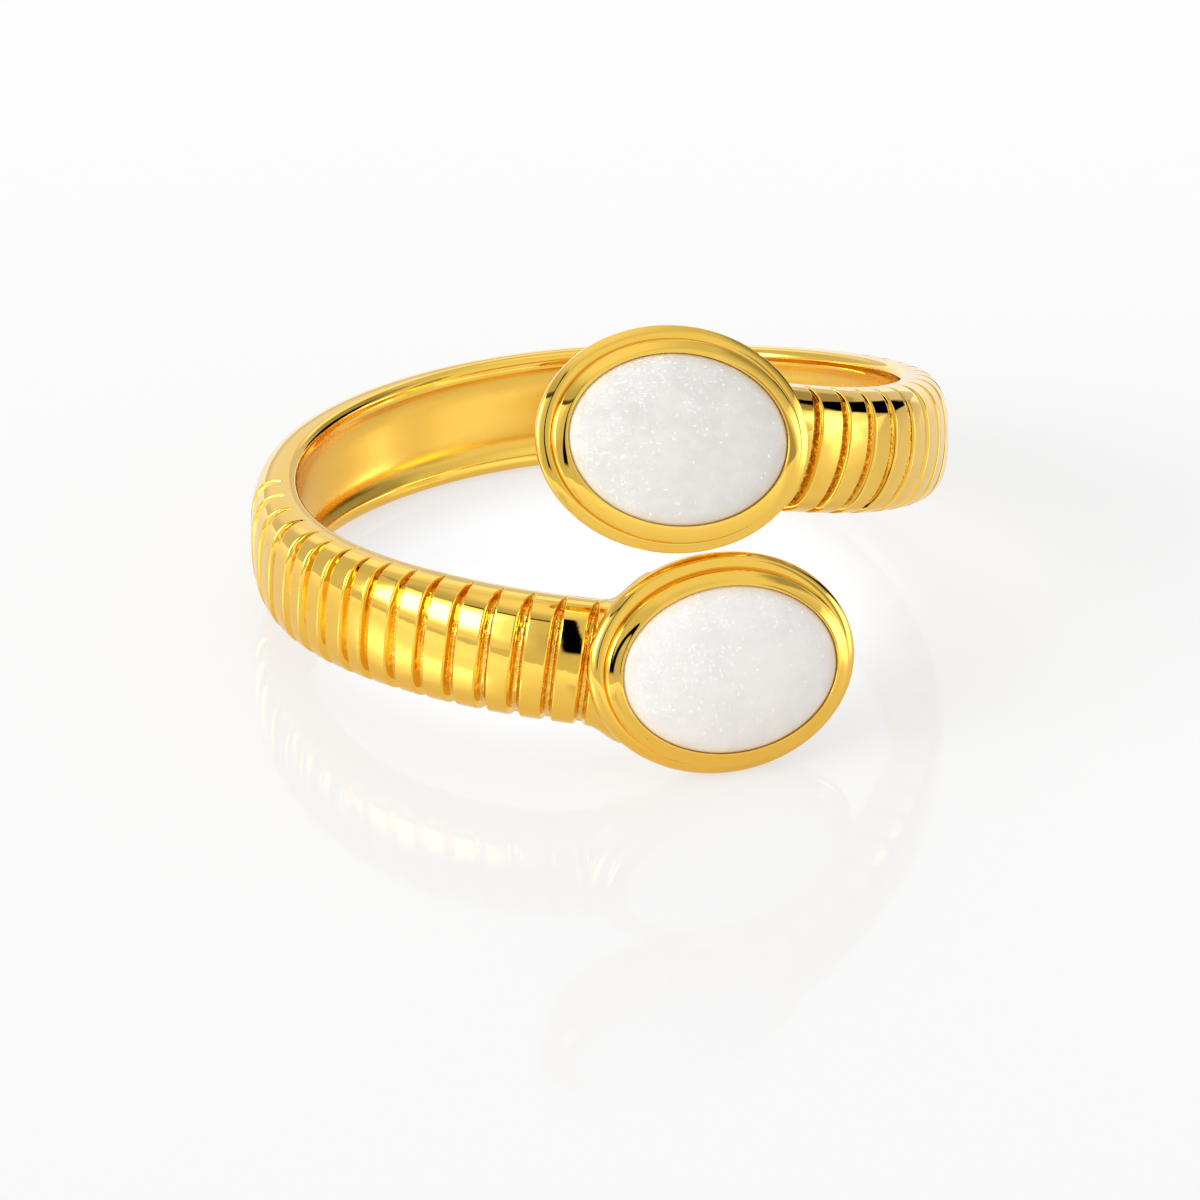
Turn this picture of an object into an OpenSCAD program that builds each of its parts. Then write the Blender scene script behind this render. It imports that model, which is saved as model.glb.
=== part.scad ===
// Adjustable open ring: a grooved bypass band with an oval stone setting on each end.
// It lies on its side, as it comes to rest on a flat surface.
// Lengths are in millimetres and angles in degrees. Turns are counted from the back of the
// finger, positive along the upper arm and negative along the lower one.

/* [Finger size] */
// Mean inner diameter across the rims
finger_d = 17.4; // [16.5:0.1:20]

/* [Band] */
// Width at the back of the finger
back_width = 3.4; // [3.2:0.05:4.2]
// Width of the arms at the settings
arm_width = 3.55; // [3.2:0.05:4.2]
// Thickness at the back of the finger
back_thickness = 1.35; // [1.2:0.05:1.8]
// Thickness of the arms at the settings
arm_thickness = 1.45; // [1.3:0.05:1.8]
// Height of the shoulder at each edge, where the dome starts
shoulder = 0.35; // [0.25:0.05:0.6]
// Squareness of the dome: 2 is an ellipse, more is boxier
dome_power = 2.7; // [2:0.1:3]
// Width of each rim beside the inner channel
rim_width = 0.5; // [0.4:0.05:0.7]
// Depth of the inner channel
channel_depth = 0.3; // [0.15:0.05:0.4]

/* [Grooves] */
// Width of a groove as an angle
groove_angle = 1.7; // [1:0.1:2.2]
// Depth of a groove at the top of the dome
groove_depth = 0.25; // [0.1:0.05:0.35]

/* [Settings] */
// Length of each oval setting
setting_length = 7.9; // [7.4:0.1:8.6]
// Width of each oval setting
setting_width = 6.35; // [5.8:0.05:6.4]
// Width of the metal between the outline and the stone
metal_width = 0.79; // [0.7:0.01:0.9]
// Distance from the finger's axis to the foot of the bead
setting_radius = 9.15; // [9.1:0.05:9.6]
// Height of the lip above the foot of the bead
lip_height = 1.1; // [1.05:0.05:1.5]
// Depth of the seat for the stone below the lip
seat_depth = 0.9; // [0.7:0.05:1]

/* [Stones] */
// Gap all round between a stone and its setting
stone_gap = 0.03; // [0.02:0.01:0.08]
// Width of the lip that closes over the edge of the stone
lip_hold = 0.12; // [0.06:0.01:0.2]
// Height of the dome above the lip's opening
stone_dome = 0.5; // [0.3:0.05:0.9]

/* [Hidden] */
gold = "#e3ae3c";
white = "#f0efec";

// Where each setting sits: turn, side offset, spin in its own plane, lean up, swing along the band
upper = [184.6, 3, 8, 10.5, -5.8];
lower = [-183.8, -3.3, 1.9, 1.6, 0.2];

// Stations 45 degrees apart round the band, from the lower setting to the upper one:
// side offset of the band's middle, and distance of its rims from the mean inner circle
path_side = [-3.55, -2.75, -2, -0.85, 0, 0.3, 0.85, 1.6, 2.95];
path_out = [0.15, 0.05, -0.08, 0.05, 0.1, 0.3, -0.03, -0.35, -0.1];
station_turn = 45;

// Grooves of each arm in runs of even steps, as turn of the first, step to the next and count.
// The lower arm's grooves come a little closer together than the upper arm's.
upper_grooves = [[159.4, 6.6, 14]];
lower_grooves = [[161.1, 5.4, 1], [155.7, 5.47, 7], [118.2, 5.5, 4], [94.9, 6.8, 4]];

// Tilt of the ring about X and then Y where it lies, and the move that puts it on the origin
rest_tilt = [-14.3, 3.7];
rest_move = [0.013, 0.75, 3.951];

rim_radius = finger_d / 2;
edge_round = 0.25;
dome_steps = 10;
plain_step = 4.5;
oval_facets = 56;

// Turns of all grooves of one arm, from the setting to the back
function groove_turns(runs) = [for (run = runs, i = [0 : run[2] - 1]) run[0] - i * run[1]];

// Sections of one arm, back to front, as [turn, share of the groove depth]:
// even steps along the plain back, four sections at each groove, then the end
function arm_sections(setting, runs) =
    let (
        turns = groove_turns(runs),
        last = len(turns) - 1,
        plain_end = turns[last] - 1.5 * groove_angle,
        steps = round(plain_end / plain_step)
    )
    concat(
        [for (i = [1 : steps]) [plain_end * i / steps, 0]],
        [
            for (i = [last : -1 : 0], edge = [[-0.5, 0], [-0.25, 1], [0.25, 1], [0.5, 0]])
                [turns[i] + edge[0] * groove_angle, edge[1]]
        ],
        [[(turns[0] + abs(setting[0])) / 2, 0], [abs(setting[0]), 0]]
    );

// All sections from the lower end to the upper one
lower_arm = arm_sections(lower, lower_grooves);
sections = concat(
    [for (i = [len(lower_arm) - 1 : -1 : 0]) [-lower_arm[i][0], lower_arm[i][1]]],
    [[0, 0]],
    arm_sections(upper, upper_grooves)
);

// Outward direction at a turn, and the direction of a rising turn
function outward(turn) = [sin(turn), cos(turn), 0];
function forward(turn) = [cos(turn), -sin(turn), 0];

// Smooth curve through the stations, carried on straight past both ends
function station(values, i) =
    i < 0 ? 2 * values[0] - values[1]
    : i > len(values) - 1 ? 2 * values[len(values) - 1] - values[len(values) - 2]
    : values[i];
function blend(a, b, c, d, f) =
    b + f / 2 * (c - a + f * (2 * a - 5 * b + 4 * c - d + f * (3 * (b - c) + d - a)));
function along(values, turn) =
    let (x = (turn + 180) / station_turn, i = min(max(floor(x), 0), len(values) - 2))
    blend(station(values, i - 1), station(values, i), station(values, i + 1), station(values, i + 2), x - i);

// Outline of one section as [out from the rim, across the band], from the upper rim over the dome
function outline(turn, groove_share) =
    let (
        share = abs(turn) / 180,
        half = (back_width + (arm_width - back_width) * share) / 2,
        thick = back_thickness + (arm_thickness - back_thickness) * share,
        cut = groove_depth * groove_share,
        channel = half - rim_width
    )
    concat(
        [[0, half - edge_round], [edge_round * 0.3, half - edge_round * 0.3]],
        [for (i = [0 : dome_steps]) dome_point(180 * i / dome_steps, half, thick, cut)],
        [[edge_round * 0.3, edge_round * 0.3 - half], [0, edge_round - half]],
        [[0, -channel], [channel_depth, channel_depth / 2 - channel]],
        [[channel_depth, channel - channel_depth / 2], [0, channel]]
    );
function dome_point(a, half, thick, cut) =
    let (
        rise = pow(sin(a), 2 / dome_power),
        side = sign(cos(a)) * pow(abs(cos(a)), 2 / dome_power)
    )
    [shoulder + (thick - shoulder) * rise - cut * min(1, 1.5 * rise), half * side];

// Outline of one section in space, square to the sloping path
function placed(section) =
    let (
        turn = section[0],
        radius = rim_radius + along(path_out, turn),
        rise = (along(path_side, turn + 1) - along(path_side, turn - 1)) / (radius * 2 * PI / 180),
        up = ([0, 0, 1] - rise * forward(turn)) / sqrt(1 + rise * rise),
        middle = radius * outward(turn) + [0, 0, along(path_side, turn)]
    )
    [for (p = outline(turn, section[1])) middle + p[0] * outward(turn) + p[1] * up];

// Swept band with its two ends closed
module band() {
    rings = [for (s = sections) placed(s)];
    n = len(rings[0]);
    last = len(rings) - 1;
    sides = [
        for (i = [0 : last - 1], j = [0 : n - 1])
            let (a = i * n + j, b = i * n + (j + 1) % n)
            each [[a, b, b + n], [a, b + n, a + n]]
    ];
    caps = [[for (j = [n - 1 : -1 : 0]) j], [for (j = [0 : n - 1]) last * n + j]];
    polyhedron([for (r = rings) each r], concat(sides, caps), convexity = 10);
}

// Frame of a setting: X along the oval, Z outward through the stone
module at_setting(setting) {
    rotate([0, 0, -setting[0]])
        translate([0, setting_radius, setting[1]])
            rotate([90, 0, 180])
                rotate([-setting[3], 0, 0])
                    rotate([0, -setting[4], 0])
                        rotate([0, 0, -setting[2]])
                            children();
}

// Solid through thin oval plates given as [height, length, width]
module oval_stack(rows) {
    for (i = [0 : len(rows) - 2])
        hull() {
            plate(rows[i]);
            plate(rows[i + 1]);
        }
}
module plate(row) {
    thin = 0.002;
    translate([0, 0, row[0]])
        linear_extrude(thin)
            scale([row[1], row[2]])
                circle(d = 1, $fn = oval_facets);
}

// Rows of an oval stack from [height, inset from the outline of the setting]
function inset_rows(rows) =
    [for (r = rows) [r[0], setting_length - 2 * r[1], setting_width - 2 * r[1]]];

// Solid metal of one setting: back, broad rounded bead, crease and broad sloping lip,
// trimmed flush with the rims
module setting_body(setting) {
    bead_middle = 0.42;
    bead_top = 0.71;
    lip_foot = bead_top + 0.14;
    back = 1;
    difference() {
        at_setting(setting)
            oval_stack(inset_rows([
                [-back, 0.75],
                [-0.4, 0.4],
                [0.1, 0.1],
                [0.25, 0.03],
                [bead_middle, 0],
                [bead_middle + 0.1, 0.02],
                [bead_middle + 0.17, 0.07],
                [bead_top - 0.06, 0.17],
                [bead_top, 0.34],
                [bead_top + 0.01, 0.39],
                [lip_foot, 0.41],
                [lip_foot + 0.06, 0.45],
                [lip_height - 0.12, 0.53],
                [lip_height - 0.04, 0.65],
                [lip_height, metal_width]
            ]));
        cylinder(r = rim_radius + along(path_out, setting[0]), h = 4 * setting_width, center = true, $fn = 144);
    }
}

// Seat of the stone and the opening of the lip above it
module seat(setting) {
    hold_inset = metal_width - lip_hold;
    lip_under = lip_height - 0.3;
    at_setting(setting)
        oval_stack(inset_rows([
            [lip_height - seat_depth, hold_inset],
            [lip_under, hold_inset],
            [lip_under + lip_hold, metal_width],
            [lip_height + 1, metal_width]
        ]));
}

// The ring laid on its side with the middle of its footprint on the origin
module at_rest() {
    translate(rest_move)
        rotate([0, rest_tilt[1], 0])
            rotate([rest_tilt[0], 0, 0])
                children();
}

module shank() {
    color(gold)
        at_rest()
            difference() {
                union() {
                    band();
                    setting_body(upper);
                    setting_body(lower);
                }
                seat(upper);
                seat(lower);
            }
}

// Oval cabochon with a straight girdle, a bevel under the lip and a low dome
module stone(setting) {
    hold_inset = metal_width - lip_hold + stone_gap;
    girdle = lip_height - 0.3 - stone_gap / 2;
    dome_foot = girdle + lip_hold;
    opening_length = setting_length - 2 * (metal_width + stone_gap);
    opening_width = setting_width - 2 * (metal_width + stone_gap);
    steps = 8;
    last_angle = 86;
    color(white)
        at_rest()
            at_setting(setting)
                oval_stack(concat(
                    inset_rows([
                        [lip_height - seat_depth + stone_gap, hold_inset],
                        [girdle, hold_inset]
                    ]),
                    [
                        for (a = [0 : last_angle / steps : last_angle])
                            [dome_foot + stone_dome * sin(a), opening_length * cos(a), opening_width * cos(a)]
                    ]
                ));
}

shank();
stone(upper);  // upper_stone
stone(lower);  // lower_stone
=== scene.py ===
import math
import bpy
from mathutils import Matrix, Vector, noise


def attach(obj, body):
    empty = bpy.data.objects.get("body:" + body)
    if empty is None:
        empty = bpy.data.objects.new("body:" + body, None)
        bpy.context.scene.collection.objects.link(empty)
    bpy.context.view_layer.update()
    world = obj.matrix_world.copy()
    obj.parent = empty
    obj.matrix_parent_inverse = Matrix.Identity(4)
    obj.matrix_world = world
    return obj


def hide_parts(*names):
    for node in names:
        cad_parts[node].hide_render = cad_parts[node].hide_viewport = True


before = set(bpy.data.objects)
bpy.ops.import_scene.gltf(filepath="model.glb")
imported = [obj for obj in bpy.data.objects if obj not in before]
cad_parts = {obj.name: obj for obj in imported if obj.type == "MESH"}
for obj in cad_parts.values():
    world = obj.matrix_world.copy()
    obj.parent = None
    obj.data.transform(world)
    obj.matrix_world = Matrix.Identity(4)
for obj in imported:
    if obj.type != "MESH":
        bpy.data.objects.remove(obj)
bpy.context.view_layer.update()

# Sizes in millimetres and degrees, in the ring's own frame: the finger runs along Z
RIM_RADIUS = 8.7
BACK_WIDTH, ARM_WIDTH = 3.4, 3.55
BACK_THICKNESS, ARM_THICKNESS = 1.35, 1.45
SHOULDER = 0.35
DOME_POWER = 2.7
# Rims beside the inner channel: their width and flat part, and the rounding of their edge, out and across
RIM_WIDTH, RIM_FLAT = 0.46, 0.35
EDGE_ROUND = (0.25, 0.26)
CHANNEL_DEPTH = 0.3
STATION_TURN = 45
PATH_SIDE = [-3.55, -2.75, -2, -0.85, 0, 0.3, 0.85, 1.6, 2.95]
PATH_OUT = [0.15, 0.05, -0.08, 0.05, 0.1, 0.3, -0.03, -0.35, -0.1]
# Grooves of each arm in runs of even steps: turn of the first, step to the next, count
UPPER_GROOVES = [[159.4, 6.6, 14]]
LOWER_GROOVES = [[161.1, 5.4, 1], [155.7, 5.47, 7], [118.2, 5.5, 4], [94.9, 6.8, 4]]
GROOVE_HALF_TURN = 0.88
GROOVE_DEPTH = 0.25
# The lower arm's groove floors are smoother than the upper one's, and carry less of the painted shade
LOWER_FLOOR_ROUGH_AND_SHADE = 0.5
SETTING_LENGTH, SETTING_WIDTH = 7.85, 6.25
METAL_WIDTH = 0.76
SEAT_STEP = 0.12
SEAT_HEIGHT = 0.6
SETTING_RADIUS = 9.15
# Turn, side offset, spin, lean and swing of each setting
UPPER = (184.6, 3.0, 8.0, 10.5, -5.8)
LOWER = (-183.8, -3.34, 1.9, 1.6, 0.2)
# How far the stones stop short of the metal, how far they reach down, and height of their girdle and dome
STONE_GAP = 0.004
STONE_DEPTH = 0.15
STONE_GIRDLE, STONE_DOME = 0.02, 0.55

# How the ring lies, and millimetres to metres
LIE = (
    Matrix.Scale(0.001, 4)
    @ Matrix.Translation((0.013, 0.75, 3.951))
    @ Matrix.Rotation(math.radians(3.7), 4, "Y")
    @ Matrix.Rotation(math.radians(-14.3), 4, "X")
)


def smooth(low, high, x):
    """Eased step from 0 at low to 1 at high."""
    t = min(max((x - low) / (high - low), 0.0), 1.0)
    return t * t * (3 - 2 * t)


def new_piece(name, points, faces, material, marks=None):
    """Mesh piece from points in the ring's frame, smooth shaded, with named marks per point."""
    mesh = bpy.data.meshes.new(name)
    mesh.from_pydata([LIE @ Vector(p) for p in points], [], faces)
    mesh.shade_smooth()
    mesh.materials.append(material)
    for label, values in (marks or {}).items():
        layer = mesh.attributes.new(label, "FLOAT", "POINT")
        layer.data.foreach_set("value", values)
    piece = bpy.data.objects.new(name, mesh)
    bpy.context.collection.objects.link(piece)
    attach(piece, "root")
    return piece


def grid_faces(rings, around):
    """Quads between rings of the same number of points, each ring closed."""
    faces = []
    for r in range(rings - 1):
        here, there = r * around, (r + 1) * around
        for i in range(around):
            after = (i + 1) % around
            faces.append((here + i, here + after, there + after, there + i))
    return faces


def closed_faces(rings, around):
    """The same quads with a face over each end."""
    faces = grid_faces(rings, around)
    faces.append(tuple(reversed(range(around))))
    faces.append(tuple(range((rings - 1) * around, rings * around)))
    return faces


def arc(centre, radii, start, end, steps):
    """Points on an elliptical arc, both ends included."""
    return [
        (
            centre[0] + radii[0] * math.cos(math.radians(start + (end - start) * i / steps)),
            centre[1] + radii[1] * math.sin(math.radians(start + (end - start) * i / steps)),
        )
        for i in range(steps + 1)
    ]


# The band's path

def along(values, turn):
    """Smooth curve through the stations round the band."""
    ends = [2 * values[0] - values[1]] + values + [2 * values[-1] - values[-2]]
    x = (turn + 180) / STATION_TURN
    i = min(max(math.floor(x), 0), len(values) - 2)
    f = x - i
    a, b, c, d = ends[i], ends[i + 1], ends[i + 2], ends[i + 3]
    return b + f / 2 * (c - a + f * (2 * a - 5 * b + 4 * c - d + f * (3 * (b - c) + d - a)))


def outward(turn):
    return Vector((math.sin(math.radians(turn)), math.cos(math.radians(turn)), 0))


def forward(turn):
    return Vector((math.cos(math.radians(turn)), -math.sin(math.radians(turn)), 0))


def band_frame(turn):
    """Middle of the rims at a turn, outward direction, and the direction across the sloping band."""
    radius = RIM_RADIUS + along(PATH_OUT, turn)
    rise = (along(PATH_SIDE, turn + 1) - along(PATH_SIDE, turn - 1)) / (radius * 2 * math.pi / 180)
    across = (Vector((0, 0, 1)) - rise * forward(turn)).normalized()
    middle = radius * outward(turn) + Vector((0, 0, along(PATH_SIDE, turn)))
    return middle, outward(turn), across


# The band's section and its grooves

# Number of the point where the dome starts at the shoulder
DOME_START = 26


def half_outline(half, thick):
    """Upper half of the section, from the channel's middle to the dome's middle.

    Its points are (out from the rim, across the band).
    """
    foot = half - RIM_WIDTH
    points = [(CHANNEL_DEPTH * (1 - (i / 14) ** 4), foot * (i / 14) ** 0.8) for i in range(14)]
    points += [(0.02, foot), (0.0, foot + 0.025), (0, half - RIM_FLAT)]
    points += arc((EDGE_ROUND[0], half - EDGE_ROUND[1]), (-EDGE_ROUND[0], EDGE_ROUND[1]), 0, 90, 8)
    for i in range(1, 29):
        a = math.radians(90 * (i / 28) ** 1.25)
        points.append((
            SHOULDER + (thick - SHOULDER) * math.sin(a) ** (2 / DOME_POWER),
            half * math.cos(a) ** (2 / DOME_POWER) if i < 28 else 0,
        ))
    return points


def full_outline(half, thick):
    """Whole section, once round, as (out from the rim, across, place over the dome).

    The place runs from 1 at the upper shoulder over 0 at the dome's middle to -1, and is 2 off the dome.
    """
    upper = half_outline(half, thick)
    over = [0.0]
    for before, after in zip(upper[DOME_START - 1:], upper[DOME_START:]):
        over.append(over[-1] + math.hypot(after[0] - before[0], after[1] - before[1]))
    places = [2.0] * (DOME_START - 1) + [1 - length / over[-1] for length in over]
    upper = [(out, across, place) for (out, across), place in zip(upper, places)]
    lower = [(out, -across, -place) for out, across, place in upper[-2:0:-1]]
    return upper + lower


def groove_list(runs, sign):
    """Middle turn, width, top and depth of each groove of an arm, all slightly uneven as cast."""
    grooves = []
    for first, step, count in runs:
        for i in range(count):
            turn = first - i * step
            places = [Vector((turn * 1.7, sign * 3.1, 0.4 + 7.3 * k)) for k in range(3)]
            wobble = Vector([noise.noise(place) for place in places])
            # the last grooves of the lower arm are broader and deeper
            broad = smooth(120, 98, turn) if sign < 0 else 0.25
            grooves.append((
                sign * turn + 0.15 * wobble.x,
                GROOVE_HALF_TURN * (1 + 0.14 * wobble.y + 0.5 * broad),
                0.93 + 0.04 * wobble.z,
                GROOVE_DEPTH * (1 + 0.12 * wobble.x + 0.3 * broad),
            ))
    return grooves


GROOVES = groove_list(LOWER_GROOVES, -1) + groove_list(UPPER_GROOVES, 1)


def groove_lean(turn, place):
    """How far, in degrees, a line across the dome strays from square at a turn and a place over the dome.

    The lower arm's grooves lean a little, evenly. The upper arm's sweep back towards its lower edge.
    """
    if turn < 0:
        return -0.35 * place - 0.5 * smooth(0.5, 1.0, place)
    sweep = 2.4 + 0.12 * (152.7 - turn) if turn > 120 else 6.3 * smooth(60, 120, turn)
    return max(sweep, 1.0) * min(max(-place, 0.0) / 0.85, 1.1) ** 1.15


def groove_at(turn, place):
    """Share of the full cut at a turn and a place over the dome, that cut, and a shift in turn.

    The shift draws the lines of the mesh together where a groove narrows towards its ends.
    """
    middle, half_turn, top, depth = min(GROOVES, key=lambda groove: abs(turn - groove[0]))
    narrow = min(max((top - place) / 0.42, 0.0), 1.0) ** 0.6
    narrow *= 1 + 0.15 * smooth(0.1, -0.5, place) - 0.45 * smooth(-0.78, -1, place)
    narrow = max(narrow, 0.12)
    u = (turn - middle) / half_turn
    reach = min(abs(u), 1.15) * (1 - smooth(1.15, 2.4, abs(u)))
    shift = math.copysign(reach, u) * half_turn * (narrow - 1)
    share = smooth(0, 0.16, top - place) * (1 - 0.6 * smooth(-0.8, -1.0, place))
    share *= 1 - smooth(0.26, 1.12, abs(u))
    return share, share * depth, shift


def section_turns():
    """Turns of all sections: close steps at each groove, wider ones between."""
    marks = [-abs(LOWER[0]), abs(UPPER[0])]
    for middle, half_turn, _, _ in GROOVES:
        for step in (0.1, 0.26, 0.38, 0.5, 0.6, 0.7, 0.8, 0.9, 1.0, 1.12, 1.3):
            marks += [middle - step * half_turn, middle + step * half_turn]
    marks.sort()
    turns = [marks[0]]
    for mark in marks[1:]:
        gap = mark - turns[-1]
        if gap < 0.045:
            continue
        parts = math.ceil(gap / 1.2)
        start = turns[-1]
        turns += [start + gap * (i + 1) / parts for i in range(parts)]
    return turns


def arm_flares(turn):
    """How much wider an arm gets where it runs into its setting, on the upper side and on the lower one."""
    if turn < 0:
        return 0.9 * smooth(162.4, 170, -turn) ** 1.2, 0.42 * smooth(162, 168.5, -turn) ** 1.2
    flare = 0.1 * smooth(160, 168, turn) ** 2
    return flare, flare


def make_band(material):
    """Sections laid along the band's path, marked where a groove is cut and where the inside is satin."""
    points, cuts, satin = [], [], []
    turns = section_turns()
    for turn in turns:
        to_end = abs(turn) / 180
        flares = arm_flares(turn)
        half = (BACK_WIDTH + (ARM_WIDTH - BACK_WIDTH) * to_end) / 2
        thick = BACK_THICKNESS + (ARM_THICKNESS - BACK_THICKNESS) * to_end
        outline = full_outline(half, thick)
        count = len(outline)
        # grooves of the upper arm stop leaning under its setting
        grooved = smooth(171, 166, turn) if turn > 0 else 1.0
        for i, (out, across, place) in enumerate(outline):
            share, cut = 0.0, 0.0
            inner = abs(across) < half - 0.4 and out <= CHANNEL_DEPTH
            lean = 0.0
            if abs(place) <= 1:
                share, cut, shift = groove_at(turn, place)
                lean = grooved * groove_lean(turn, place) + shift
            elif not inner:
                side = math.copysign(1, across)
                lean = (grooved * groove_lean(turn, side) + groove_at(turn, side)[2]) * smooth(0.0, 0.3, out)
            middle, out_way, across_way = band_frame(turn + lean)
            if cut:
                before, after = outline[i - 1], outline[(i + 1) % count]
                normal = Vector((after[1] - before[1], before[0] - after[0]))
                normal.normalize()
                if normal.dot(Vector((out - 0.6, across))) < 0:
                    normal.negate()
                grain = noise.noise(Vector((turn * 1.6, across * 9, out * 9)))
                cut += 0.03 * grain * smooth(0.35, 0.8, share)
                out -= cut * normal.x
                across -= cut * normal.y
            across *= 1 + (flares[1] if across < 0 else flares[0]) / half
            points.append(middle + out * out_way + across * across_way)
            cuts.append(share * (1.0 if turn > 0 else LOWER_FLOOR_ROUGH_AND_SHADE))
            satin.append(smooth(0.03, 0.12, out) if inner else 0.0)
    faces = closed_faces(len(turns), len(outline))
    return new_piece("grooved_band", points, faces, material, {"groove": cuts, "satin": satin})


# The settings and the stones

def setting_place(setting):
    """Frame of a setting: X along the oval, Y up, Z outward through the stone."""
    turn, side, spin, lean, swing = (v if i == 1 else math.radians(v) for i, v in enumerate(setting))
    return (
        Matrix.Rotation(-turn, 4, "Z")
        @ Matrix.Translation((0, SETTING_RADIUS, side))
        @ Matrix.Rotation(math.pi, 4, "Z")
        @ Matrix.Rotation(math.pi / 2, 4, "X")
        @ Matrix.Rotation(-lean, 4, "X")
        @ Matrix.Rotation(-swing, 4, "Y")
        @ Matrix.Rotation(-spin, 4, "Z")
    )


def oval_points(place, rows, around):
    """Rings of an oval solid from rows of (height, half length, half width, offset).

    The offset is to the right and up in the oval's plane. A fifth value in a row is how much
    higher the ring is at its upper left.
    """
    points = []
    for height, length, width, offset, *higher in rows:
        for i in range(around):
            a = 2 * math.pi * i / around
            angle = math.degrees(a)
            rise = sum(higher) * smooth(178, 132, angle) * smooth(60, 125, angle)
            x, y = length * math.cos(a) + offset[0], width * math.sin(a) + offset[1]
            points.append(place @ Vector((x, y, height + rise)))
    return points


# Tapering back of a setting as (inset from the outline, height above the bead's foot)
SETTING_BACK = [
    (0.75, -1.0), (0.62, -0.75), (0.4, -0.4), (0.2, -0.1), (0.08, 0.12), (0.025, 0.25), (0.006, 0.34),
]
# Slope of the metal across a setting, from the outline inward, as (inset from the outline, how far the
# surface faces outward in degrees)
UPPER_BEAD = [
    (0.0, 88), (0.004, 75), (0.01, 60), (0.02, 46), (0.035, 36), (0.055, 30), (0.1, 27),
    (0.18, 25), (0.25, 20), (0.29, 12), (0.31, 2),
]
LOWER_BEAD = [
    (0.0, 88), (0.004, 82), (0.01, 75), (0.03, 60), (0.06, 45), (0.1, 35), (0.16, 28),
    (0.24, 20), (0.29, 11), (0.31, 2),
]
UPPER_LIP = [
    (0.345, 82), (0.35, 68), (0.358, 54), (0.37, 46), (0.384, 36), (0.396, 29), (0.41, 26.5),
    (0.5, 24.5), (0.57, 22), (0.64, 20.3), (0.7, 17), (0.73, 10), (0.74, 6),
]
LOWER_LIP = [
    (0.345, 82), (0.35, 68), (0.36, 58), (0.372, 50), (0.384, 42), (0.394, 33), (0.404, 25),
    (0.44, 23), (0.5, 25), (0.62, 30), (0.66, 29), (0.71, 18), (0.74, 6),
]
# The crease between bead and lip as (distance before the lip's foot, depth under the bead's top)
CREASE = [(0.031, 0.035), (0.018, 0.055), (0.006, 0.045), (0.0, 0.0)]
# The rounded edge of the opening and the step under it, as (distance past the metal's width, depth)
OPENING_EDGE = [(-0.012, 0.002), (-0.004, 0.014), (0.0, 0.04), (0.002, 0.16), (0.1, 0.17)]
# Metal of each setting: bead, height where it starts, lip, height of the wall between the two, how much
# steeper the lip is at its upper left in degrees, as rubbed by hand, and how far the lip's foot and the
# stone's opening sit off the outline, to the right and up
UPPER_METAL = (UPPER_BEAD, 0.47, UPPER_LIP, 0.16, 5.5, (0.035, -0.045), (0.0, 0.0))
LOWER_METAL = (LOWER_BEAD, 0.42, LOWER_LIP, 0.16, 0.0, (0.03, -0.075), (0.02, -0.08))


def slope_line(start, slopes, steps):
    """Points (inset, height) that follow the given slopes from a start height."""
    points = [(slopes[0][0], start)]
    for (inset, tilt), (next_inset, next_tilt) in zip(slopes, slopes[1:]):
        for i in range(steps):
            middle_tilt = tilt + (next_tilt - tilt) * (i + 0.5) / steps
            part = (next_inset - inset) / steps
            points.append((points[-1][0] + part, points[-1][1] + part * math.tan(math.radians(middle_tilt))))
    return points


def setting_profile(bead, start, lip, wall):
    """Profile of the metal as (inset from the outline, height above the bead's foot), back to seat."""
    line = SETTING_BACK + slope_line(start, bead, 3)
    bead_top = line[-1][1]
    foot = lip[0][0]
    line += [(foot - before, bead_top - below) for before, below in CREASE]
    line += slope_line(bead_top + wall, lip, 4)
    top = line[-1][1]
    line += [(METAL_WIDTH + past, top - below) for past, below in OPENING_EDGE]
    line += [(METAL_WIDTH + SEAT_STEP, SEAT_HEIGHT)]
    return line, top


def make_setting(name, setting, metal, material):
    """Metal of one setting: bead, lip and seat on one body."""
    place = setting_place(setting)
    around = 256
    half_length, half_width = SETTING_LENGTH / 2, SETTING_WIDTH / 2
    bead, start, lip, wall, steeper, foot_off, opening_off = metal
    profile, top = setting_profile(bead, start, lip, wall)
    back_inset, back = profile[0]
    back_length, back_width = half_length - back_inset, half_width - back_inset
    rows = [(back, back_length * i / 10, back_width * i / 10, (0, 0)) for i in range(1, 10)]
    for inset, height in profile:
        off = (0, 0)
        if height > 0.3:
            at_foot = smooth(0.16, lip[0][0], inset)
            at_opening = smooth(lip[0][0], METAL_WIDTH, inset)
            off = [at_foot * (f + (o - f) * at_opening) for f, o in zip(foot_off, opening_off)]
        # the steeper part of the lip ends before its flat edge
        on_lip = min(max(inset - lip[0][0], 0.0), 0.27) * smooth(lip[-1][0], 0.64, inset)
        higher = on_lip * math.tan(math.radians(steeper))
        rows.append((height, half_length - inset, half_width - inset, off, higher))
    seat_length = half_length - METAL_WIDTH - SEAT_STEP
    seat_width = half_width - METAL_WIDTH - SEAT_STEP
    rows += [(SEAT_HEIGHT, seat_length * i / 4, seat_width * i / 4, opening_off) for i in (3, 2, 1)]
    points = oval_points(place, rows, around)
    # the back is trimmed flush with the rims round the finger
    trim = RIM_RADIUS + along(PATH_OUT, setting[0])
    trimmed = []
    for p in points:
        reach = math.hypot(p.x, p.y)
        trimmed.append(Vector((p.x * trim / reach, p.y * trim / reach, p.z)) if reach < trim else p)
    return new_piece(name, trimmed, closed_faces(len(rows), around), material), top


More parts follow.
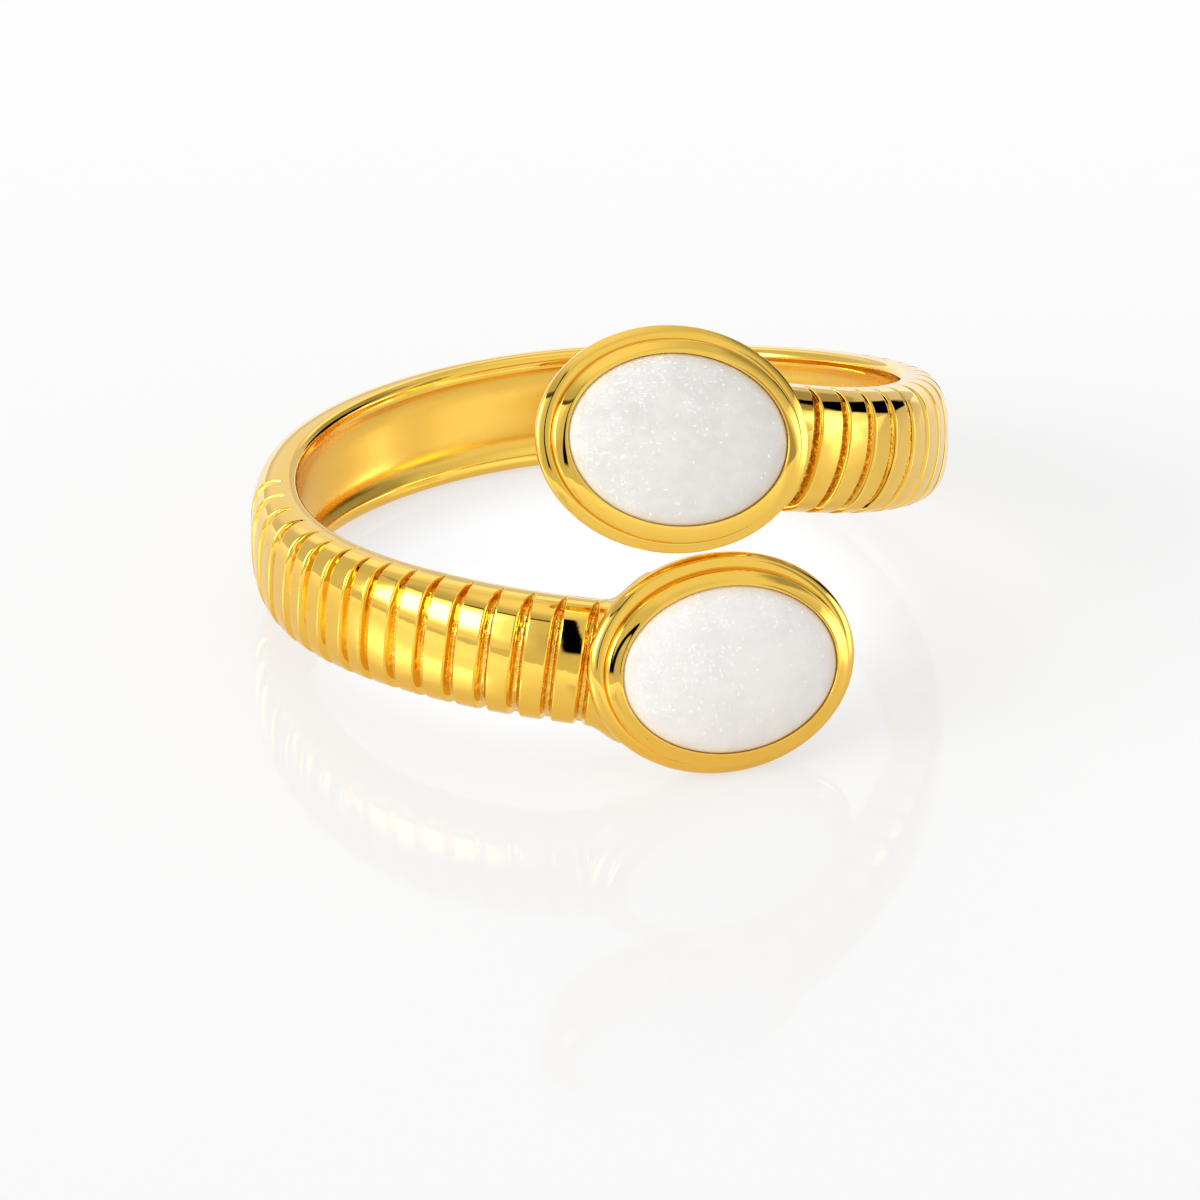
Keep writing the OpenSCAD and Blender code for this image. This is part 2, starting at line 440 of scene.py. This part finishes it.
def make_stone(name, setting, top, off, paler_body, material):
    """Low cabochon. Marks on its points say how many flakes with painted glints show, how near the rim is,
    which sets the painted warm light from the gold, and how pale its body is.
    """
    place = setting_place(setting)
    around = 192
    half_length = SETTING_LENGTH / 2 - METAL_WIDTH - STONE_GAP
    half_width = SETTING_WIDTH / 2 - METAL_WIDTH - STONE_GAP
    foot = top - STONE_DEPTH
    rows = [(foot, half_length * i / 5, half_width * i / 5, off) for i in (1, 2, 3, 4)]
    rows += [(foot, half_length, half_width, off)]
    for i in range(25):
        a = math.radians(88 * i / 24)
        rise = STONE_GIRDLE + STONE_DOME * math.sin(a)
        rows.append((foot + rise, half_length * math.cos(a), half_width * math.cos(a), off))
    points = oval_points(place, rows, around)
    flake_glint_share, rim = [], []
    for row in rows:
        out = row[1] / half_length
        for i in range(around):
            a = 2 * math.pi * i / around
            # painted glints: flakes gather at the upper left and near the rim, where light catches them
            side = out * (-0.75 * math.cos(a) + 0.55 * math.sin(a)) + 0.5 * out * out
            flake_glint_share.append(0.08 + 0.92 * smooth(-0.35, 1.15, side))
            rim.append(smooth(0.86, 1.0, out))
    marks = {"flake_glint_share": flake_glint_share, "rim": rim, "paler_body": [paler_body] * len(points)}
    return new_piece(name, points, closed_faces(len(rows), around), material, marks)


# Materials

class Wiring:
    """Short way to place nodes in one tree and join their sockets."""

    def __init__(self, tree):
        self.tree = tree

    def node(self, kind, **settings):
        made = self.tree.nodes.new(kind)
        for key, value in settings.items():
            setattr(made, key, value)
        return made

    def join(self, source, target):
        if isinstance(source, bpy.types.NodeSocket):
            self.tree.links.new(source, target)
        else:
            target.default_value = source

    def math(self, way, *values):
        made = self.node("ShaderNodeMath", operation=way)
        for value, socket in zip(values, made.inputs):
            self.join(value, socket)
        return made.outputs[0]

    def dot(self, vector, direction):
        made = self.node("ShaderNodeVectorMath", operation="DOT_PRODUCT")
        self.join(vector, made.inputs[0])
        made.inputs[1].default_value = direction
        return made.outputs["Value"]

    def ramp(self, value, low, high, start=0.0, end=1.0):
        """Eased change from start to end as the value goes from low to high."""
        made = self.node("ShaderNodeMapRange", interpolation_type="SMOOTHSTEP")
        items = {"Value": value, "From Min": low, "From Max": high, "To Min": start, "To Max": end}
        for name, item in items.items():
            self.join(item, made.inputs[name])
        return made.outputs["Result"]

    def blend(self, share, first, second, way="MIX"):
        """Mix of two colours."""
        made = self.node("ShaderNodeMix", data_type="RGBA", blend_type=way)
        self.join(share, made.inputs[0])
        self.join(first, made.inputs[6])
        self.join(second, made.inputs[7])
        return made.outputs[2]

    def mark(self, label):
        """Value that the mesh carries on its points."""
        return self.node("ShaderNodeAttribute", attribute_name=label).outputs["Fac"]

    def place_mm(self):
        """Place on the piece in millimetres."""
        made = self.node("ShaderNodeVectorMath", operation="SCALE")
        self.join(self.node("ShaderNodeTexCoord").outputs["Object"], made.inputs[0])
        made.inputs["Scale"].default_value = 1000
        return made.outputs[0]

    def noise(self, place, scale, detail=3.0, distortion=0.0):
        made = self.node("ShaderNodeTexNoise")
        self.join(place, made.inputs["Vector"])
        made.inputs["Scale"].default_value = scale
        made.inputs["Detail"].default_value = detail
        made.inputs["Distortion"].default_value = distortion
        return made.outputs["Fac"]


def new_group(name, inputs, outputs):
    """Node group with named sockets: inputs as (name, kind, value), outputs as (name, kind)."""
    tree = bpy.data.node_groups.new(name, "ShaderNodeTree")
    for label, kind, value in inputs:
        socket = tree.interface.new_socket(name=label, in_out="INPUT", socket_type=kind)
        if value is not None:
            socket.default_value = value
    for label, kind in outputs:
        tree.interface.new_socket(name=label, in_out="OUTPUT", socket_type=kind)
    wiring = Wiring(tree)
    return tree, wiring, wiring.node("NodeGroupInput"), wiring.node("NodeGroupOutput")


def new_material(name):
    material = bpy.data.materials.new(name)
    material.use_nodes = True
    material.node_tree.nodes.clear()
    wiring = Wiring(material.node_tree)
    shader = wiring.node("ShaderNodeBsdfPrincipled")
    out = wiring.node("ShaderNodeOutputMaterial")
    wiring.join(shader.outputs["BSDF"], out.inputs["Surface"])
    return material, wiring, shader


def use_group(wiring, tree, **values):
    """Places a node group with its own values; an underscore in a name stands for a space."""
    made = wiring.node("ShaderNodeGroup", node_tree=tree)
    for label, value in values.items():
        wiring.join(value, made.inputs[label.replace("_", " ")])
    return made.outputs


def polish_group():
    """Hand-polished metal: slow waviness of the surface, small pits and a faint drift of its tone."""
    tree, w, given, out = new_group(
        "hand_polish",
        [
            ("Place", "NodeSocketVector", None),
            ("Wave size", "NodeSocketFloat", 1.0),
            ("Pit share", "NodeSocketFloat", 0.1),
        ],
        [("Height", "NodeSocketFloat"), ("Pits", "NodeSocketFloat"), ("Tone", "NodeSocketFloat")],
    )
    place = given.outputs["Place"]
    slow = w.noise(place, 0.9, 2.0)
    quick = w.noise(place, 3.5, 2.0)
    height = w.math("ADD", w.math("MULTIPLY", slow, 0.7), w.math("MULTIPLY", quick, 0.12))
    w.join(w.math("MULTIPLY", height, given.outputs["Wave size"]), out.inputs["Height"])
    cells = w.node("ShaderNodeTexVoronoi")
    w.join(place, cells.inputs["Vector"])
    cells.inputs["Scale"].default_value = 2.6
    chosen = w.node("ShaderNodeSeparateColor")
    w.join(cells.outputs["Color"], chosen.inputs[0])
    picked = w.math("LESS_THAN", chosen.outputs[0], given.outputs["Pit share"])
    size = w.ramp(cells.outputs["Distance"], 0.03, 0.1, 1.0, 0.0)
    w.join(w.math("MULTIPLY", picked, size), out.inputs["Pits"])
    w.join(w.noise(place, 0.45, 4.0), out.inputs["Tone"])
    return tree


# Colours of the gold plate: thin, full, on rough groove floors, where it is a painted shade, and in pits,
# where it is a painted shade too
THIN_PLATE = (0.87, 0.545, 0.08, 1)
FULL_PLATE = (0.885, 0.567, 0.09, 1)
SHADED_ROUGH_FLOOR_PLATE = (0.5, 0.2, 0.015, 1)
SHADED_PIT = (0.45, 0.18, 0.02, 1)


def gold_colour_group():
    """Plated gold, a little redder where it is thin, with a painted shade of deep orange where it is rough
    and in pits.
    """
    tree, w, given, out = new_group(
        "gold_plate_colour",
        [
            ("Tone", "NodeSocketFloat", 0.5),
            ("Rough floor", "NodeSocketFloat", 0.0),
            ("Pits", "NodeSocketFloat", 0.0),
        ],
        [("Color", "NodeSocketColor")],
    )
    plain = w.blend(w.ramp(given.outputs["Tone"], 0.35, 0.65), THIN_PLATE, FULL_PLATE)
    # painted shade: rough groove floors are coloured a darker, deep orange
    floor = w.blend(given.outputs["Rough floor"], plain, SHADED_ROUGH_FLOOR_PLATE)
    # painted shade: the pits are coloured darker instead of being cut into the surface
    w.join(w.blend(given.outputs["Pits"], floor, SHADED_PIT), out.inputs["Color"])
    return tree


POLISH = polish_group()
GOLD_COLOUR = gold_colour_group()
# Height of the polish's waves, and roughness that the drift of its tone adds
WAVE_HEIGHT = 0.35
POLISH_ROUGHNESS = 0.06


def plate(w, shader, height):
    """What all the gold shares: metal with a thin clear lustre, and the fine relief of its surface."""
    shader.inputs["Metallic"].default_value = 1.0
    shader.inputs["Coat Weight"].default_value = 0.3
    shader.inputs["Coat Roughness"].default_value = 0.03
    bump = w.node("ShaderNodeBump")
    bump.inputs["Strength"].default_value = 1.0
    bump.inputs["Distance"].default_value = 0.00002
    w.join(height, bump.inputs["Height"])
    w.join(bump.outputs["Normal"], shader.inputs["Normal"])


def band_gold():
    """Gold of the band: polished outside, rough and darkened by a painted shade in the grooves, satin in the
    inner channel.
    """
    material, w, shader = new_material("grooved_gold_plate")
    place = w.place_mm()
    groove = w.mark("groove")
    satin = w.mark("satin")
    polish = use_group(w, POLISH, Place=place, Wave_size=1.0, Pit_share=0.06)
    grain = w.noise(place, 11.0, 3.0)
    # the rough groove floors set both their roughness and their painted shade
    rough_floor_shade = w.math("MULTIPLY", w.ramp(groove, 0.3, 0.8), w.ramp(grain, 0.35, 0.6, 0.2, 1.0))
    colour = use_group(w, GOLD_COLOUR, Tone=polish["Tone"], Rough_floor=rough_floor_shade, Pits=polish["Pits"])
    w.join(colour["Color"], shader.inputs["Base Color"])
    finish = w.math("ADD", w.math("MULTIPLY", rough_floor_shade, 0.3), w.math("MULTIPLY", satin, 0.22))
    polished = w.math("MULTIPLY", polish["Tone"], POLISH_ROUGHNESS)
    w.join(w.math("ADD", finish, polished), shader.inputs["Roughness"])
    fine = w.math("MULTIPLY", grain, w.math("MULTIPLY", rough_floor_shade, 0.9))
    plate(w, shader, w.math("ADD", w.math("MULTIPLY", polish["Height"], WAVE_HEIGHT), fine))
    return material


def setting_gold():
    """Gold of the settings: polished all over."""
    material, w, shader = new_material("bezel_gold_plate")
    place = w.place_mm()
    polish = use_group(w, POLISH, Place=place, Wave_size=0.6, Pit_share=0.1)
    colour = use_group(w, GOLD_COLOUR, Tone=polish["Tone"], Rough_floor=0.0, Pits=polish["Pits"])
    w.join(colour["Color"], shader.inputs["Base Color"])
    w.join(w.math("MULTIPLY", polish["Tone"], POLISH_ROUGHNESS), shader.inputs["Roughness"])
    plate(w, shader, w.math("MULTIPLY", polish["Height"], WAVE_HEIGHT))
    return material


# Tones of the stone: the darker and the paler one, the grey veils over them, clouds, the painted warm light
# bounced from the gold at the rim, and flakes with painted glints
DARKER_BODY = (0.715, 0.69, 0.655, 1)
PALER_BODY = (0.795, 0.765, 0.74, 1)
GREY_VEIL = (0.9, 0.91, 0.93, 1)
CLOUD = (0.84, 0.83, 0.82, 1)
PAINTED_GOLD_BOUNCE = (1.0, 0.9, 0.72, 1)
FLAKE_WITH_PAINTED_GLINT = (1.0, 1.0, 0.99, 1)
# Two sets of fibrous flakes that cross: how each set is turned, and how many of its cells lie in a
# millimetre along X, Y and Z
FLAKE_SETS = [(0.7, (5, 16, 23)), (-0.35, (21, 16, 6))]


def stone_material():
    """Milky stone with grey veils and fine fibrous flakes with painted glints, and painted warm light from
    the gold at its rim.
    """
    material, w, shader = new_material("milky_white_stone")
    place = w.place_mm()
    flake_glint_share = w.mark("flake_glint_share")
    rim = w.mark("rim")
    paler_body = w.mark("paler_body")
    veil = w.noise(place, 0.7, 6.0, 0.6)
    cloud = w.noise(place, 2.6, 6.0, 0.4)
    # the upper stone's body is darker and a little warmer, the lower one's paler
    body = w.blend(paler_body, DARKER_BODY, PALER_BODY)
    body = w.blend(w.ramp(veil, 0.35, 0.65, 0.6, 0.0), body, GREY_VEIL, "MULTIPLY")
    body = w.blend(w.ramp(cloud, 0.38, 0.72, 0.0, 0.3), body, CLOUD)
    # painted light: the rim is tinted warm as if lit by light bounced from the gold
    body = w.blend(rim, body, PAINTED_GOLD_BOUNCE, "MULTIPLY")
    # the flakes are dense in some parts and rare in others
    drift = w.noise(place, 1.1, 4.0, 0.5)
    crowd = w.math("MULTIPLY", flake_glint_share, w.ramp(drift, 0.38, 0.62, 0.25, 1.0))
    flake_and_glint = 0.0
    for turn, cells_per_mm in FLAKE_SETS:
        strands = w.node("ShaderNodeMapping")
        w.join(place, strands.inputs["Vector"])
        strands.inputs["Rotation"].default_value = (0.2, turn, 0.3)
        strands.inputs["Scale"].default_value = cells_per_mm
        cells = w.node("ShaderNodeTexVoronoi")
        w.join(strands.outputs["Vector"], cells.inputs["Vector"])
        cells.inputs["Scale"].default_value = 1.0
        pick = w.node("ShaderNodeSeparateColor")
        w.join(cells.outputs["Color"], pick.inputs[0])
        chosen = w.math("LESS_THAN", pick.outputs[0], w.math("MULTIPLY", crowd, 0.8))
        bright = w.ramp(pick.outputs[1], 0.2, 1.0, 0.2, 1.0)
        strand = w.ramp(cells.outputs["Distance"], 0.15, 0.5, 1.0, 0.0)
        one = w.math("MULTIPLY", w.math("MULTIPLY", chosen, bright), strand)
        flake_and_glint = w.math("MAXIMUM", flake_and_glint, one)
        shine = cells.outputs["Color"]
    # painted glints: the flakes are coloured near white, on top of their own sheen
    w.join(w.blend(flake_and_glint, body, FLAKE_WITH_PAINTED_GLINT), shader.inputs["Base Color"])
    w.join(w.math("MULTIPLY", flake_and_glint, 0.35), shader.inputs["Metallic"])
    w.join(w.ramp(flake_and_glint, 0, 1, 0.3, 0.16), shader.inputs["Roughness"])
    # each flake faces its own way a little
    tilt = w.node("ShaderNodeVectorMath", operation="SUBTRACT")
    w.join(shine, tilt.inputs[0])
    tilt.inputs[1].default_value = (0.5, 0.5, 0.5)
    amount = w.node("ShaderNodeVectorMath", operation="SCALE")
    w.join(tilt.outputs[0], amount.inputs[0])
    w.join(w.math("MULTIPLY", flake_and_glint, 0.6), amount.inputs["Scale"])
    total = w.node("ShaderNodeVectorMath", operation="ADD")
    w.join(amount.outputs[0], total.inputs[0])
    w.join(w.node("ShaderNodeNewGeometry").outputs["Normal"], total.inputs[1])
    unit = w.node("ShaderNodeVectorMath", operation="NORMALIZE")
    w.join(total.outputs[0], unit.inputs[0])
    w.join(unit.outputs[0], shader.inputs["Normal"])
    shader.inputs["Subsurface Weight"].default_value = 0.15
    shader.inputs["Subsurface Radius"].default_value = (1.0, 1.0, 1.0)
    shader.inputs["Subsurface Scale"].default_value = 0.0004
    return material


gold = setting_gold()
stone = stone_material()
band = make_band(band_gold())
upper_setting, upper_top = make_setting("upper_setting", UPPER, UPPER_METAL, gold)
lower_setting, lower_top = make_setting("lower_setting", LOWER, LOWER_METAL, gold)
upper_stone = make_stone("upper_white_stone", UPPER, upper_top, UPPER_METAL[-1], 0.0, stone)
lower_stone = make_stone("lower_white_stone", LOWER, lower_top, LOWER_METAL[-1], 1.0, stone)
for piece in (band, upper_setting, lower_setting):
    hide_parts("shank")
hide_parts("upper_stone")
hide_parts("lower_stone")


# Floor, light and camera

# Tones of the board's glow: everywhere, a painted warm shade beside the band, and a painted pool of light
# inside the ring
BOARD_GLOW = (1.0, 0.97, 0.93, 1)
PAINTED_WARM_SHADE_NEAR_BAND = (0.96, 0.82, 0.65, 1)
PAINTED_LIGHT_INSIDE_RING = (1.2, 1.245, 1.305, 1)


def make_floor():
    """Pale glossy board, lit from within so that it stays even and almost without shadow."""
    size = 0.6
    mesh = bpy.data.meshes.new("floor")
    corners = [(-size, -size, 0), (size, -size, 0), (size, size, 0), (-size, size, 0)]
    mesh.from_pydata(corners, [], [(0, 1, 2, 3)])
    floor = bpy.data.objects.new("floor", mesh)
    bpy.context.collection.objects.link(floor)
    material, w, shader = new_material("pale_glossy_board")
    shader.inputs["Base Color"].default_value = (0.24, 0.24, 0.24, 1)
    shader.inputs["Roughness"].default_value = 0.06
    shader.inputs["IOR"].default_value = 1.22
    shader.inputs["Emission Strength"].default_value = 0.633
    # painted shade and light: beside the band the board glows darker and warmer, a painted shade with the
    # gold's bounced light that only the ring's reflections show, and inside the ring the camera sees a
    # painted pool of light
    spot = w.node("ShaderNodeVectorMath", operation="LENGTH")
    w.join(w.place_mm(), spot.inputs[0])
    far = spot.outputs["Value"]
    # painted shade: a band of warmer, dimmer glow 8 to 16 mm from the middle, seen only in reflections
    near = w.math("MULTIPLY", w.ramp(far, 8.0, 10.0), w.ramp(far, 10.0, 16.0, 1.0, 0.0))
    painted_warm_shade = w.blend(near, BOARD_GLOW, PAINTED_WARM_SHADE_NEAR_BAND)
    # painted light: the camera sees the board brighter and a little bluer inside the ring
    camera_tone_with_painted_light = w.blend(w.ramp(far, 6.0, 9.5), PAINTED_LIGHT_INSIDE_RING, (1, 1, 1, 1))
    shade = w.blend(w.node("ShaderNodeLightPath").outputs["Is Camera Ray"], painted_warm_shade, camera_tone_with_painted_light)
    w.join(shade, shader.inputs["Emission Color"])
    mesh.materials.append(material)


# Panels and dark gaps of the studio as seen from the ring: direction from the camera's side to the
# right and height over the horizon, both in degrees, then softness of the left and right sides, foot and
# top, and brightness
SURROUNDINGS = 0.785
PANELS = [
    ("overhead", (-180, 180), (66, 120), (0, 0, 22, 10), 1.1),
    ("pale wall at the right", (12, 84), (-14, 56), (12, 12, 8, 14), 1.0),
    ("pale wall far left, front half", (-195, -146), (8, 60), (20, 16, 8, 14), 1.02),
    ("tan wall at the left", (-142, -108), (4, 44), (14, 10, 8, 8), 0.72),
    ("back light, right half", (150, 195), (22, 44), (16, 16, 6, 8), 1.3),
    ("back light, left half", (-195, -150), (22, 44), (16, 16, 6, 8), 1.3),
    ("dim strip over the left panel", (-106, -10), (48, 60), (14, 14, 2, 20), 0.6),
    ("pale foot of the left panel", (-80, -28), (2.5, 9), (14, 12, 2, 2), 1.05),
    ("left panel", (-90, -28), (7.5, 46), (20, 16, 4, 1.5), 1.55),
    ("bright middle of the left panel", (-83, -39), (12, 37), (18, 12, 7, 14), 9.0),
    ("tan edge beside the left panel", (-21, -10), (4, 24), (6, 3, 6, 8), 0.69),
    ("dark line over the left panel", (-64, -8), (45.8, 49.2), (24, 6, 1.2, 2), 0.1),
    ("paler end of that line", (-118, -64), (45.4, 49), (10, 24, 1.2, 2), 0.5),
    ("dark gap beside the camera", (-13, -6.5), (7, 60), (1.5, 1.5, 3, 5), 0.0),
    ("dim edge at the right", (64, 78), (-5, 38), (5, 5, 6, 8), 0.45),
    ("pale side of the right panel", (82, 112), (-9, 17), (4, 10, 6, 3), 1.5),
    ("right panel", (84, 100), (-9, 13), (4, 6, 6, 4), 3.4),
    ("brown wall over the right panel", (94, 152), (16, 47), (8, 10, 4, 8), 0.4),
]
# Slanting dark bars: middle turn and rise, slope, half thickness, reach in turns and softness
BARS = [
    ("bar at the right", (120, 12.3), -0.75, 11.2, (104, 143), 2.5),
]
# Level directions from the ring towards the camera's side, and to the right of it
CAMERA_SIDE = (-0.27424, -0.96166, 0.0)
CAMERA_RIGHT = (0.96166, -0.27424, 0.0)


def make_world():
    """Studio of soft panels that the ring reflects. The camera itself sees a plain pale background."""
    world = bpy.data.worlds.new("studio")
    bpy.context.scene.world = world
    world.use_nodes = True
    world.node_tree.nodes.clear()
    w = Wiring(world.node_tree)
    way = w.node("ShaderNodeTexCoord").outputs["Generated"]
    turn = w.math("ARCTAN2", w.dot(way, CAMERA_RIGHT), w.dot(way, CAMERA_SIDE))
    turn = w.math("MULTIPLY", turn, 180 / math.pi)
    rise = w.math("MULTIPLY", w.math("ARCSINE", w.dot(way, (0, 0, 1))), 180 / math.pi)

    def inside(value, low, high, soft_low, soft_high):
        rising = w.ramp(value, low - soft_low / 2, low + soft_low / 2)
        return w.math("MULTIPLY", rising, w.ramp(value, high - soft_high / 2, high + soft_high / 2, 1.0, 0.0))

    light = SURROUNDINGS
    for name, across, up, soft, bright in PANELS:
        share = inside(rise, *up, *soft[2:])
        if soft[0]:
            share = w.math("MULTIPLY", share, inside(turn, *across, *soft[:2]))
        kept = w.math("MULTIPLY", light, w.math("SUBTRACT", 1.0, share))
        light = w.math("ADD", kept, w.math("MULTIPLY", bright, share))
    for name, middle, slope, half, across, soft in BARS:
        line = w.math("MULTIPLY_ADD", w.math("SUBTRACT", turn, middle[0]), slope, middle[1])
        off = w.math("SUBTRACT", rise, line)
        bar = w.math("MULTIPLY", inside(off, -half, half, soft, soft), inside(turn, *across, 6, 6))
        light = w.math("MULTIPLY", light, w.math("SUBTRACT", 1.0, bar))
    studio = w.node("ShaderNodeBackground")
    studio.inputs["Color"].default_value = (1, 1, 1, 1)
    w.join(light, studio.inputs["Strength"])
    plain = w.node("ShaderNodeBackground")
    plain.inputs["Color"].default_value = (0.938, 0.938, 0.938, 1)
    mix = w.node("ShaderNodeMixShader")
    w.join(w.node("ShaderNodeLightPath").outputs["Is Camera Ray"], mix.inputs[0])
    w.join(studio.outputs[0], mix.inputs[1])
    w.join(plain.outputs[0], mix.inputs[2])
    out = w.node("ShaderNodeOutputWorld")
    w.join(mix.outputs[0], out.inputs["Surface"])


def make_camera():
    """Long lens at the photograph's angle."""
    data = bpy.data.cameras.new("camera")
    data.sensor_width = 36
    data.lens = 248.4
    data.clip_start = 0.01
    data.clip_end = 10
    camera = bpy.data.objects.new("camera", data)
    camera.location = (-0.057702, -0.201562, 0.112699)
    camera.rotation_euler = [math.radians(a) for a in (61.802, 0.163, -16.001)]
    bpy.context.collection.objects.link(camera)
    bpy.context.scene.camera = camera


make_floor()
make_world()
make_camera()
bpy.context.scene.view_settings.view_transform = "Standard"
